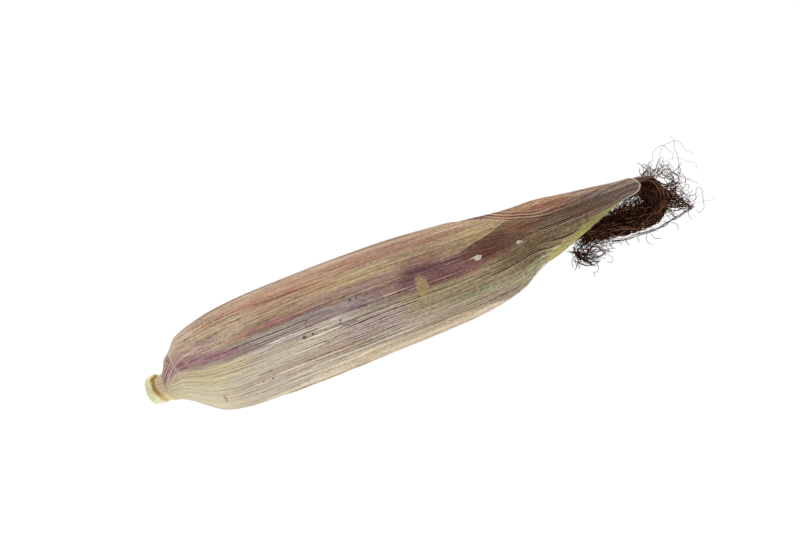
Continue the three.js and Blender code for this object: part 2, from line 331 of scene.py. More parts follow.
# Each leaf: its layer from the outside, and its edges as (along, first edge's turn, second edge's turn).
# Its stripes: ink, along and turn where it starts, along and turn where it ends, half width in degrees,
# softness, strength. Its streaks: how strong the mauve and the straw ones are. Its lines: how strong its
# veins are. Its neck: how strong the veins and the fine streaks are by the neck, next to the body's.
leaves = {
    "husk_upper": {
        "layer": 0, "slot": "husk_upper", "rows": 130, "columnTurn": 0.75, "seed": 11,
        "edges": [
            (11.5, 25, 190), (20, 24, 200), (35, 20.5, 208), (54, 17, 210), (85, 16.6, 210),
            (110, 15.4, 210), (138, 15.3, 208), (150, 17, 206), (160, 19.6, 190), (168, 21.4, 160),
            (177, 22.8, 106), (184, 26.4, 77), (190, 31, 71), (195, 35, 65), (200, 38.8, 56.5),
            (207, 43.5, 44.5),
        ],
        "ground": "b3977c", "margin": "b9ab80", "streaks": (0.4, 0.3), "lines": 0.36, "neck": 1.4,
        "stripes": [
            ("c4b098", 6, 56, 36, 58, 36, 8, 0.85),
            ("bda28b", 34, 68, 134, 68, 10, 6, 0.8),
            ("b6a084", 34, 38, 68, 38, 7, 4, 0.8),
            ("ae8a70", 62, 56, 134, 56, 8, 5, 0.8),
            ("a98b6c", 66, 38, 118, 36, 7, 5, 0.8),
            ("bca990", 32, 29, 70, 29, 3.5, 3, 0.85),
            ("b0987b", 68, 29.5, 134, 29, 4, 3, 0.8),
            ("ac9a75", 112, 37, 214, 42, 6, 4, 0.9),
            ("9c7763", 116, 54, 178, 55, 9, 5, 0.85),
            ("ab9172", 170, 56, 210, 60, 11, 6, 0.85),
            ("9c7c68", 64, 24, 134, 23, 3.5, 3, 0.8),
            ("957468", 58, 19.4, 118, 18.4, 2.6, 2, 0.8),
            ("94796b", 112, 19, 152, 19, 5, 4, 0.85),
            ("8c7060", 146, 25, 180, 27, 5, 4, 0.8),
            ("a58f72", 164, 29, 206, 34, 6, 4, 0.85),
            ("7c5a56", 146, 22, 166, 24, 5, 3, 0.6),
            ("9a8058", 176, 36, 210, 42, 8, 5, 0.6),
            ("5c3b3e", 146, 18, 162, 20, 2.5, 2.5, 0.8),
            ("996f58", 160, 50, 184, 52, 4, 3, 0.7),
            ("947058", 150, 29, 174, 31, 3, 3, 0.7),
            ("b08f88", 10, 22, 44, 20, 9, 5, 0.85),
            # painted shade: a dark stripe along the far edge of the ear, where it turns away
            ("6a5652", 10, 86, 160, 86, 4, 9, 0.6),
            ("a3796b", 15, 128, 215, 126, 12, 12, 0.6),
            ("b79f86", 15, 170, 215, 168, 16, 12, 0.7),
            ("8a6e5a", 144, 47, 176, 48, 5, 4, 0.5),
            ("8c755c", 146, 36, 168, 37, 3, 3, 0.55),
            ("a48d80", 96, 20, 132, 20, 4, 3, 0.5),
        ],
        "lineStripes": [
            ("7e3e2c", 42, 52.5, 104, 45.2, 0.7, 0.9, 0.9),
            ("a5694c", 50, 54, 104, 47.6, 2.4, 2.4, 0.5),
            ("875a44", 80, 36.6, 119, 37.4, 0.6, 0.8, 0.85),
            ("8a6048", 52, 39, 62, 38.4, 0.8, 0.8, 0.8),
            ("7a5450", 52, 19.2, 108, 17, 0.7, 0.9, 0.6),
            ("9c5a62", 62, 21.6, 90, 20.6, 1.1, 1.1, 0.5),
            ("7c5a50", 90, 60, 150, 61, 0.5, 0.7, 0.5),
            ("7a5a48", 80, 30.6, 92, 30.2, 0.5, 0.6, 0.6),
            ("8a6350", 124, 48, 176, 52, 0.6, 0.8, 0.6),
            ("7d5844", 26, 60, 42, 57, 0.7, 0.9, 0.8),
            ("865c4a", 24, 50, 34, 47, 0.6, 0.8, 0.7),
            ("6f4a44", 24, 40, 33, 37, 0.6, 0.8, 0.7),
            ("6c4a42", 150, 31, 176, 36, 0.5, 0.7, 0.5),
            ("cdb894", 150, 56, 196, 63, 0.6, 0.8, 0.45),
            ("c6b68a", 158, 44, 200, 49, 0.5, 0.7, 0.5),
        ],
    },
    "husk_front": {
        "layer": 1, "slot": "husk_front", "rows": 190, "columnTurn": 0.75, "seed": 11,
        "edges": [
            (10.5, -98, 95), (30, -88, 105), (50, -76, 110), (65, -66, 111), (80, -62, 112),
            (95, -54, 112), (150, -52, 112), (168, -52, 112), (180, -56, 112), (192, -66, 112),
            (203, -76, 112), (211, -74, 112), (217, -60, 112), (223, -44, 111), (236, -38, 110),
            (252, -33, 106), (262, -37, 100), (272, -38, 92),
            (275.5, -36, 86), (277.6, -29, 58), (279, -12, 32), (279.8, 0, 3),
        ],
        "ground": "b6aa95", "margin": "dcd0b2", "streaks": (0.4, 0.12), "lines": 0.7, "neck": 0.45,
        "stripes": [
            ("d3c8aa", 0, -36, 44, -40, 28, 10, 0.9),
            ("ccc299", 0, -40, 20, -40, 44, 10, 0.7),
            ("c9b396", 2, 0, 26, -2, 9, 6, 0.85),
            ("d2c396", 18, -8, 60, -8, 8, 6, 0.8),
            ("cabfa8", 46, -20, 122, -14, 6, 6, 0.7),
            ("bcae9d", 46, -43, 96, -43, 8, 5, 0.7),
            ("b9a793", 60, -30, 100, -30, 4, 4, 0.7),
            ("c6bbb0", 56, 1, 116, 0, 2.6, 2.4, 0.7),
            ("a59380", 88, -30, 130, -31, 6, 4, 0.85),
            ("c0b29a", 92, -53, 140, -53, 6, 4, 0.8),
            ("a8938b", 104, -16, 152, -21, 9, 6, 0.85),
            ("a08f7e", 118, -3, 152, -4, 5, 4, 0.75),
            ("a28b84", 28, 8.5, 64, 8, 5.5, 3, 0.85),
            ("a5938a", 54, 8.6, 124, 7, 5, 1.6, 0.85),
            ("9a8e84", 50, 13.4, 122, 13, 3, 2, 0.85),
            ("8c7470", 120, 9, 154, 9, 6.5, 3, 0.85),
            ("93727e", 92, 8.4, 124, 6, 2.6, 2.4, 0.5),
            ("ab9892", 90, 13, 124, 12, 3, 2, 0.5),
            ("7d5866", 113, 5, 125, 4, 1.6, 1.6, 0.6),
            ("9c8b68", 142, -8, 208, -14, 13, 8, 0.92),
            ("8e8060", 148, -17, 180, -17, 5, 4, 0.6),
            ("9b8a73", 146, -32, 204, -34, 10, 6, 0.8),
            ("98876f", 138, -52, 210, -52, 11, 6, 0.9),
            ("8a8c64", 164, -25, 212, -38, 3, 3, 0.55),
            ("8c6862", 136, 9, 186, 10, 10, 5, 0.9),
            ("5f3c4c", 143, 9, 152, 9, 3.5, 2.5, 0.7),
            ("7f5654", 156, 10, 190, 10, 9, 4, 0.9),
            ("7a4c40", 184, 10, 204, 10, 9, 4, 0.85),
            ("64424a", 146, 15, 166, 17.5, 3.5, 3, 0.8),
            ("704a44", 174, 20, 202, 26, 6, 4, 0.85),
            ("7c5d4e", 154, 0.5, 184, 0.5, 2, 2, 0.8),
            ("5d3424", 182, 20, 218, 17, 12, 5, 0.95),
            ("6a432e", 190, 40, 212, 36, 8, 4, 0.9),
            ("79522f", 205, 31, 226, 8, 4, 3, 0.75),
            ("74504c", 154, 8, 172, 8, 3.5, 3, 0.7),
            ("6c573e", 190, -8, 228, -9, 7, 5, 0.85),
            ("6b543a", 204, -10, 310, -8, 19, 8, 0.92),
            ("7d6b4c", 204, -28, 310, -26, 7, 5, 0.85),
            ("a39c76", 202, -47, 234, -45, 9, 5, 0.88),
            ("9c7152", 182, 78, 246, 62, 26, 7, 0.93),
            ("5a3430", 176, 86, 198, 76, 9, 4, 0.85),
            ("6e4638", 196, 84, 214, 78, 8, 5, 0.7),
            ("80533b", 208, 46, 246, 42, 9, 5, 0.92),
            ("6f4a34", 212, 29, 246, 25, 9, 5, 0.9),
            ("644838", 236, 20, 310, 14, 26, 8, 0.88),
            ("66503c", 224, 17, 246, 13, 6, 4, 0.7),
            ("87705f", 246, 54, 310, 50, 14, 8, 0.88),
            ("68574c", 254, 4, 310, 4, 30, 10, 0.85),
            ("8c776b", 260, 20, 310, 16, 12, 6, 0.6),
            ("57473b", 262, -26, 310, -22, 13, 5, 0.6),
            ("86745f", 256, 66, 310, 62, 30, 10, 0.8),
            ("a99c8c", 262, 30, 310, 26, 4, 4, 0.35),
            ("a08f86", 264, -18, 310, -14, 5, 4, 0.4),
            ("86684e", 240, 76, 268, 74, 12, 8, 0.7),
            ("b08f88", 10, 22, 44, 20, 9, 5, 0.85),
            ("aa857e", 14, 14, 36, 14, 6, 4, 0.75),
            # painted shade: a dark stripe along the far edge of the ear, where it turns away
            ("8c7a72", 96, 96, 200, 96, 14, 3, 0.7),
            ("87766e", 44, -88, 82, -88, 14, 4, 0.6),
        ],
        "lineStripes": [
            ("8a5262", 30, 10.6, 62, 8.4, 1.9, 1.6, 0.7),
            ("94606c", 24, 16.4, 50, 13.6, 2.4, 2, 0.5),
            ("a87484", 34, 9.6, 54, 8.4, 2.0, 1.6, 0.4),
            ("bdb1a6", 54, 14.9, 86, 15, 0.9, 1.0, 0.8),
            ("6a5650", 46, 11.3, 84, 11, 0.6, 0.9, 0.65),
            ("75645c", 48, 4, 100, 3.2, 0.5, 0.8, 0.3),
            ("5f4a46", 118, 1.8, 136, 1.6, 0.7, 0.9, 0.6),
            ("bca892", 128, 4, 150, 4.4, 0.8, 0.8, 0.6),
            ("cdb0b4", 27, 14.4, 37, 12.4, 1.4, 1.2, 0.6),
            ("5f5048", 107, -8, 119, -7.8, 0.45, 0.6, 0.9),
            ("5f5048", 111, -11.8, 127, -11.3, 0.45, 0.6, 0.9),
            ("5f4e48", 60, -25.4, 70, -25.2, 0.5, 0.6, 0.7),
            ("5f4e48", 83, -30.4, 101, -30, 0.5, 0.6, 0.8),
            ("a8704c", 103, -30.4, 112, -30, 1.2, 1.0, 0.6),
            ("5b3a30", 192, 27, 226, 17, 0.7, 0.8, 0.7),
            ("9a7a50", 205, 30, 226, -6, 1.4, 1.5, 0.35),
            ("907048", 204, 20, 224, -10, 1.0, 1.2, 0.3),
            ("4a3a30", 262, 50, 279, 46, 2.4, 2, 0.7),
            ("55443a", 258, 12, 278, 8, 2, 2, 0.7),
            ("4f4034", 250, 38, 268, 34, 1.2, 1.4, 0.6),
            ("9a6c70", 268, 40, 275, 38, 5, 4, 0.6),
            ("4c3c2a", 172, -11, 230, -15, 0.5, 0.7, 0.6),
            ("4f4030", 150, -18, 214, -25, 0.5, 0.7, 0.6),
            ("586040", 170, -24, 196, -30, 0.7, 0.8, 0.55),
            ("8f6a52", 150, -46, 206, -46, 0.6, 0.8, 0.6),
            ("6b5250", 190, -64, 217, -53, 1.5, 0.9, 0.8),
            ("75605a", 194, -73, 215, -63, 1.5, 0.9, 0.7),
            ("7f6c60", 186, -57, 214, -46, 1.0, 0.8, 0.6),
            ("cbbcae", 190, -68, 216, -58, 1.2, 0.9, 0.7),
            ("5d4a40", 118, -58.5, 162, -58, 0.8, 0.8, 0.85),
        ],
    },
    "husk_back": {
        "layer": 1, "slot": "husk_back", "rows": 90, "columnTurn": 1.1, "seed": 13,
        "edges": [
            (11, 125, 246), (40, 125, 262), (100, 122, 266), (170, 124, 262), (195, 130, 248),
            (215, 145, 228), (232, 163, 206), (240, 183, 186),
        ],
        "ground": "c3b294", "margin": "d8caa2", "streaks": (0.5, 0.4), "lines": 0.14, "neck": 0.6,
        "stripes": [
            ("a58c84", 60, 220, 200, 222, 8, 8, 0.7),
            ("9c7c62", 80, 190, 250, 186, 10, 10, 0.7),
            ("d2c692", 8, 190, 34, 190, 90, 12, 0.9),
            ("a59a6c", 170, 180, 260, 180, 60, 20, 0.6),
        ],
        "lineStripes": [
            ("8a6350", 50, 206, 170, 208, 0.9, 1.0, 0.7),
            ("8f7278", 70, 236, 190, 234, 2, 2, 0.6),
        ],
    },
    "husk_lower": {
        "layer": 2, "slot": "husk_back", "rows": 90, "columnTurn": 1.1, "seed": 14,
        "edges": [
            (14, -175, -55), (40, -190, -44), (100, -195, -36), (170, -190, -36), (190, -172, -38),
            (205, -142, -46), (213, -118, -50), (219, -86, -84),
        ],
        "ground": "c7b9a0", "margin": "d8ccaa", "streaks": (0.4, 0.4), "lines": 0.1, "neck": 0.6,
        "stripes": [
            ("b08f76", 90, -76, 210, -76, 3, 4, 0.5),
            ("a79678", 112, -57, 174, -58, 5, 3, 0.6),
            ("a98f84", 60, -120, 200, -124, 10, 10, 0.6),
            ("9c8468", 60, -158, 200, -160, 9, 8, 0.6),
            ("d2c692", 8, -110, 34, -110, 90, 12, 0.9),
        ],
        "lineStripes": [
            ("96705a", 84, -57, 200, -56, 0.9, 1.2, 0.6),
            ("8a6350", 70, -104, 190, -106, 0.9, 1, 0.6),
        ],
    },
    "husk_inner_upper": {
        "layer": 2, "slot": "husk_tip", "rows": 100, "columnTurn": 1.4, "seed": 15,
        "edges": [
            (14, -25, 120), (60, -26, 145), (180, -26, 150), (220, -20, 150), (250, -5, 140),
            (270, 5, 128), (279, 14, 112), (286, 38, 100), (291, 70, 76),
        ],
        "ground": "5c3a32", "margin": "4c2d26", "streaks": (0.4, 0.3), "lines": 0.1, "neck": 0.6,
        "stripes": [
            ("cdbf95", 8, 60, 190, 60, 100, 20, 0.95),
            ("9c8560", 200, 110, 270, 112, 12, 10, 0.6),
        ],
        "lineStripes": [],
    },
    "husk_inner_lower": {
        "layer": 3, "slot": "husk_inner", "rows": 100, "columnTurn": 1.4, "seed": 16,
        "edges": [
            (18, -110, 55), (60, -120, 62), (180, -118, 62), (205, -110, 60), (225, -100, 55),
            (245, -98, 50), (258, -94, 40), (265, -86, 20), (270, -56, -50),
        ],
        "ground": "9c9650", "margin": "aeaa5c", "streaks": (0.0, 0.5), "lines": 0.08, "neck": 0.6,
        "stripes": [
            ("d3cba0", 8, -30, 200, -30, 120, 20, 0.9),
            ("b9a878", 216, -64, 236, -60, 8, 6, 0.5),
            ("7c7444", 244, -70, 280, -66, 40, 12, 0.6),
        ],
        "lineStripes": [],
    },
    "husk_inner_back": {
        "layer": 3, "slot": "husk_inner", "rows": 80, "columnTurn": 1.6, "seed": 17,
        "edges": [
            (18, 72, 232), (60, 75, 228), (180, 78, 228), (215, 84, 232), (240, 95, 235),
            (256, 120, 220), (262, 168, 172),
        ],
        "ground": "b3ad7a", "margin": "c4bf84", "streaks": (0.3, 0.3), "lines": 0.1, "neck": 0.6,
        "stripes": [
            ("d3cba0", 8, 150, 200, 150, 120, 20, 0.9),
            ("94744f", 236, 150, 266, 170, 30, 20, 0.6),
        ],
        "lineStripes": [],
    },
}

# Marks on the husk, in mm: lines as (along, across) points, spots as (along, across, radius), and the
# rest as (along, across, length, width).
marks = {
    "crease": [
        (150, 33), (175, 28.5), (190, 22.6), (199.4, 16.6), (206.9, 12.4), (213.9, 9.8), (220.8, 7.3),
        (225, 6.6), (239, 6), (262, 4.6), (281, 3),
    ],
    "creaseTurn": [(150, 90), (180, 88), (190, 75), (200, 58), (212, 39), (224, 30), (245, 26), (290, 20)],
    "crowdedVeins": (8, 90),  # the veins between these run together below the crease
    "creaseHeight": 0.45,
    "combWidth": 1.5, "combHeight": 0.16,  # the fine folds beside the crease
    "ridges": [
        [(20.6, 15), (19.6, 10.6), (20.3, 7.7), (21.4, 3.5), (21.9, -1.4), (21.8, -6)],
        [(13.2, 0.8), (15.7, 3.5), (19.2, 5.7), (23.4, 8.1), (29.7, 9.9), (37, 11.2)],
        [(13.9, -1.4), (17.7, 1.5), (20, 2.8)],
    ],
    "ridgeWidth": 0.4, "ridgeHeight": 0.4,
    "plums": [(23.8, 6.2, 3.4, 0.9), (25.6, 3.8, 2.8, 0.7), (31.5, 5.6, 3.2, 0.6), (17.5, 11.4, 1.5, 2)],
    "wrinkles": (16.6, 5.4, 4.6, 6.4),  # by the neck
    "eaten": [
        (185, -0.1, 1.95, 1.3), (182.6, 0.7, 1.5, 0.35),
        (207.4, -0.6, 1.2, 0.8), (208.8, -0.9, 1.1, 0.35),
    ],
    "eatenDepth": 0.22,
    "scar": (153.5, -3.8, 3.1, 6.6),
    "scarHeight": 0.14,
    "spots": [
        (88.9, -4.4, 1.0), (93.5, -4.5, 0.72), (99.8, -4.7, 0.42), (109, -3.2, 0.6), (108.4, -4.8, 0.62),
        (92.8, 3, 0.55), (90.1, 3.2, 0.4), (117.2, 4.4, 0.75), (120.6, 4.2, 0.6), (126.2, 4.3, 0.6),
        (154.7, 5.2, 0.6), (98, -10.4, 0.5), (99.2, -10.8, 0.4), (61, -17.5, 0.4), (66, -17.7, 0.5),
    ],
    "tick": (39.4, -18.2, 0.9, 2.4),
    "crack": [(247.6, 1.2), (246.4, -1.6), (245.6, -4.6)],
    "crackWidth": 0.5, "crackDepth": 0.2,
}
creaseAt, creaseTurnAt = smoothLine(marks["crease"]), smoothLine(marks["creaseTurn"])


def distanceTo(line, along, across):  # from each place to a line of short straight stretches
    nearest = np.full(along.shape, 1e9)
    for (ax, ay), (bx, by) in zip(line, line[1:]):
        t = ((along - ax) * (bx - ax) + (across - ay) * (by - ay)) / ((bx - ax) ** 2 + (by - ay) ** 2)
        t = np.clip(t, 0, 1)
        nearest = np.minimum(nearest, np.hypot(along - ax - t * (bx - ax), across - ay - t * (by - ay)))
    return nearest


def veinTurn(along, turn):  # a number that stays the same along each vein of the front leaf
    # the veins just below the crease crowd beside it, and those further down run straight on
    crease = creaseTurnAt(along)
    low, high = marks["crowdedVeins"]
    crowded = np.where(turn < low, turn, low + (turn - low) * (high - low) / (crease - low))
    return np.where(turn < crease, crowded, high + (turn - crease) * 1.1)


def hollow(along, across, spot):  # 1 in the middle of a mark, 0 outside it
    x, y, length, width = spot
    return ease(1.3, 0.7, np.hypot((along - x) / length, (across - y) / width))


def markHusk(name, along, turn, across, edge):  # the heights of the marks, and what their finish reads
    onTop = np.where(np.abs(turn) < 88, 1.0, 0.0)
    ridge = np.zeros(along.shape)
    for line in marks["ridges"]:
        ridge = np.maximum(ridge, np.exp(-(distanceTo(line, along, across) / marks["ridgeWidth"]) ** 2))
    ridge = ridge * onTop
    bumps = marks["ridgeHeight"] * ridge
    carried = [("across", across), ("ridge", ridge)]
    if name == "husk_front":
        creaseOff = across - creaseAt(along)
        carried.append(("creaseOff", creaseOff))
        fold = ease(-0.5, 0.9, creaseOff) * ease(207, 224, along) * ease(276, 256, along)
        bumps += marks["creaseHeight"] * fold * ease(0, 3, edge)
        comb = np.cos(2 * math.pi * creaseOff / marks["combWidth"]) * ease(8, 2, np.abs(creaseOff - 2.5))
        bumps += marks["combHeight"] * comb * (ease(206, 214, along) * ease(252, 232, along))
        bumps -= marks["eatenDepth"] * sum(hollow(along, across, spot) for spot in marks["eaten"]) * onTop
        scar = hollow(along, across, marks["scar"]) * ripple(32, along, across, 2.5, 2)
        bumps += marks["scarHeight"] * scar * onTop
        crack = np.exp(-(distanceTo(marks["crack"], along, across) / marks["crackWidth"]) ** 2)
        bumps -= marks["crackDepth"] * crack * onTop
    return bumps, carried


def buildLeaf(name, leaf):
    start, end = leaf["edges"][0][0], leaf["edges"][-1][0]
    # the rows lie closer together at both ends
    share = np.linspace(0, 1, leaf["rows"])
    rows = start + (end - start) * (share - 0.6 * np.sin(2 * math.pi * share) / (2 * math.pi))
    firstEdge, secondEdge = (smoothLine([(e[0], e[k]) for e in leaf["edges"]]) for k in (1, 2))
    fray = [husk["fray"] * ripple(leaf["seed"] + k, rows, 0 * rows, 14, 1) for k in (0, 50)]
    low, high = firstEdge(rows) + fray[0], secondEdge(rows) + fray[1]
    high = np.maximum(high, low + 0.5)
    turns = np.arange(low.min(), high.max() + leaf["columnTurn"], leaf["columnTurn"])
    first = np.clip(np.searchsorted(turns, low, side="right") - 1, 0, None)
    last = np.clip(np.searchsorted(turns, high, side="left"), 0, len(turns) - 1)
    along = np.repeat(rows[:, None], len(turns), 1)
    turn = np.clip(turns[None, :], low[:, None], high[:, None])
    radius = (halfWidthAt(along) + halfHeightAt(along)) / 2
    perTurn = radius * math.pi / 180
    slants = [np.hypot(1, np.gradient(side, rows) * perTurn[:, 0])[:, None] for side in (low, high)]
    edge = np.minimum((turn - low[:, None]) / slants[0], (high[:, None] - turn) / slants[1]) * perTurn
    vein = veinTurn(along, turn) if name == "husk_front" else turn
    layerDepth = depthOf(leaf["layer"], along)
    # ribs and lumps, then the margin that settles on the leaf below
    drift = 0.8 * np.sin(vein / 9 + leaf["seed"]) + 0.5 * np.sin(vein / 23 + 2)
    rib = np.cos(2 * math.pi * (vein + drift) / husk["ribTurn"])
    rib += 0.5 * np.cos(2 * math.pi * (vein * 0.37 + drift) / husk["ribTurn"] + leaf["seed"])
    relief = husk["ribHeight"] * rib * radius / husk["fullRadius"] * ease(0, 1.5, edge)
    relief += husk["lumps"] * ripple(5, along, turn, 46, 50) * radius / husk["fullRadius"]
    below = depthOf(leaf["layer"] + 1, along) - layerDepth
    settle = np.maximum(below - husk["marginThickness"] - husk["marginGap"], 0)
    relief -= settle * np.maximum(np.exp(-edge / 2.2), np.exp(-(along - start) / 1.6))
    carried = []
    if name in ("husk_upper", "husk_front"):
        across = middleAt(along) + (halfWidthAt(along) - layerDepth) * np.sin(np.radians(turn))
        bumps, carried = markHusk(name, along, turn, across, edge)
        relief += bumps
    thickness = husk["marginThickness"] + (husk["thickness"] - husk["marginThickness"]) * ease(0, 4, edge)
    depth = layerDepth - relief
    outer = onHusk(along, turn, depth).reshape(-1, 3)
    inner = onHusk(along, turn, depth + thickness).reshape(-1, 3)
    faces = closeSheet(leafFaces(first, last, len(rows), len(turns)), len(outer))
    # keep only the points that a face uses
    used = np.unique(np.concatenate([np.array(face) for face in faces]))
    place = np.full(2 * len(outer), -1)
    place[used] = np.arange(len(used))
    faces = [[int(place[i]) for i in face] for face in faces]
    # the outer face takes most of the bake map, and the inner face the strip beside it
    sheet = np.stack([(along - start) / (end - start), (turn - turns[0]) / (turns[-1] - turns[0])], -1)
    sheet = sheet.reshape(-1, 2)
    bake = np.concatenate([sheet * (0.98, 0.7) + (0.01, 0.01), sheet * (0.98, 0.25) + (0.01, 0.74)])
    # towards the tip the veins run together, and the finest ones end
    narrow = 1 + ((radius / husk["fullRadius"]) ** 0.85 - 1) * ease(185, 235, along)
    values = [("along", along), ("turn", turn), ("vein", 20 + (vein - 20) * narrow), ("edge", edge)] + carried
    values = [(key, np.tile(numbers.ravel(), 2)[used]) for key, numbers in values]
    values.append(("inside", np.repeat([0.0, 1.0], len(outer))[used]))
    points = np.concatenate([outer, inner])[used]
    piece = newPiece(name + "_leaf", name, points, faces, values, [("OFBake", bake[used])])
    paintLeaf(name, leaf, piece)


leafLook = {
    "veinTurn": 2.5,  # degrees from one pale vein to the next
    "mauve": (0.88, 0.77, 0.84, 1), "straw": (1.04, 1.03, 0.87, 1),  # times the colour under them
    "threads": 1.75, "bits": 1.0, "grit": 1.3,  # how strong the long streaks, short ones and specks are
    "inside": "d8cca8",
    "eaten": "cdc5b3",
    "scar": ("b4a06c", "98835c"),
    "spot": "4b3c38",
    "plum": "763c4c",
    "ridge": "e0c6c0",
    "crack": "4a3a2e",
    "tick": "a07c50",
    # the crease lines: dark red veins with painted shade in the folds, and painted highlights between them
    "creaseVeinShade": "3c1a14", "creaseHighlight": "cfab8c",
    "tipMargin": "c6b6aa",
    "limeMargin": "a29a5c",
    "tone": 1.02,  # how light the leaves are
    "creaseLines": 1.6,  # from one line beside the crease to the next
    "roughness": 0.48, "bumpDepth": 0.14, "gloss": 0.22,
}


def paintLeaf(name, leaf, piece):
    f = Finish(name + "_finish")
    along, turn, vein, edge, inside = (f.value(key) for key in ("along", "turn", "vein", "edge", "inside"))
    seed = float(leaf["seed"])
    patches = f.grain(along / 26, vein * 0.12, seed, 3.0, 0.6)
    streaks = f.grain(along / 34, vein * 0.33, seed + 9, 4.0, 0.65)
    wobble = (patches - 0.5) * 14 + (streaks - 0.5) * 8
    broken = f.fade(streaks, 0.36, 0.56)
    f.colour = leaf["ground"]
    specks = f.grain(along * 0.45, turn * 0.36, seed + 40, 3.0, 0.75)
    dashes = f.fade(f.grain(along * 0.5, turn * 0.2, seed + 44, 3.0, 0.7), 0.42, 0.56)
    shifted = along + wobble * 0.3  # so that no stripe ends straight across
    for kind, pattern, solid in (("stripes", broken, 0.75), ("lineStripes", dashes, 0.3)):
        for tint, startAlong, startTurn, endAlong, endTurn, half, soft, strength in leaf[kind]:
            middle = (shifted - startAlong) * ((endTurn - startTurn) / (endAlong - startAlong)) + startTurn
            near = f.fade(f.off(turn + wobble * min(1.0, half / 9) - middle), half + soft, half)
            end = min(12.0, (endAlong - startAlong) * 0.25)
            reach = f.fade(shifted, startAlong - end, startAlong + end)
            reach = reach * f.fade(shifted, endAlong + end, endAlong - end)
            f.over(near * reach * (pattern * (1 - solid) + solid) * strength, tint)
    # patches of mauve and straw, a few veins wide
    violet = f.grain(along / 24, vein * 0.12, seed + 51, 3.0, 0.6)
    f.tinted(f.fade(violet, 0.46, 0.66) * leaf["streaks"][0], leafLook["mauve"])
    straw = f.grain(along / 34, vein * 0.1, seed + 61, 3.0, 0.6)
    f.tinted(f.fade(straw, 0.46, 0.66) * leaf["streaks"][1], leafLook["straw"])
    # the veins, thin dark and light streaks between them, and specks
    uneven = vein + (f.grain(along / 60, vein * 0.3, seed, 1.0) - 0.5) * 5
    line = f.wave(uneven * (2 * math.pi / leafLook["veinTurn"]))
    strong = f.fade(f.grain(along / 50, vein * 0.16, seed + 20), 0.36, 0.64)
    threads = f.grain(along / 34, vein * 0.5, seed + 31, 2.0, 0.7)
    bits = f.grain(along / 7, vein * 0.6, seed + 37, 2.0, 0.7)
    # each leaf has its own strength by the neck, and all are stronger at the tip
    neck = leaf["neck"]
    body = f.fade(along, 30, 90) * (1 - neck) + neck
    clear = f.fade(along, 198, 226) * 0.6 + body
    gritty = f.fade(along, 100, 165) * 0.5 + f.fade(along, 190, 225) * 1.3 + body
    tone = line * strong * (bits + 0.5) * leaf["lines"] + (threads - 0.5) * leafLook["threads"]
    tone = (tone + (bits - 0.5) * leafLook["bits"]) * clear
    f.scaled(tone + (specks - 0.5) * gritty * leafLook["grit"] + leafLook["tone"])
    height = line * 0.35 + threads * 1.2 + specks * 0.5
    if name in ("husk_upper", "husk_front"):
        paintMarks(f, name, along, turn, edge)
    if name == "husk_upper":
        shown = f.fade(along, 178, 190) * f.fade(turn, 60, 50)
        f.over(f.fade(edge, 0.9, 0.3) * shown * 0.5, leaf["margin"])
    elif name != "husk_front":
        f.over(f.fade(edge, 1.1, 0.3) * 0.6, leaf["margin"])
    f.over(inside, f.blend(streaks * 0.5, leafLook["inside"], leaf["ground"]))
    roughness = threads * 0.25 + leafLook["roughness"]
    f.use(piece, roughness, height, leafLook["bumpDepth"], Specular_IOR_Level=leafLook["gloss"])


def spotMask(f, place, spot, ragged):  # 1 inside a mark, 0 outside it, with an uneven edge
    x, y, length, width = spot
    away = f.node("ShaderNodeVectorMath", {"operation": "SUBTRACT"}, {0: place, 1: (x, y, 0)})
    sizes = (1 / length, 1 / width, 0)
    away = f.node("ShaderNodeVectorMath", {"operation": "MULTIPLY"}, {0: away, 1: sizes})
    return f.fade(f.node("ShaderNodeVectorMath", {"operation": "LENGTH"}, {0: away}, 1) + ragged, 1.2, 0.8)


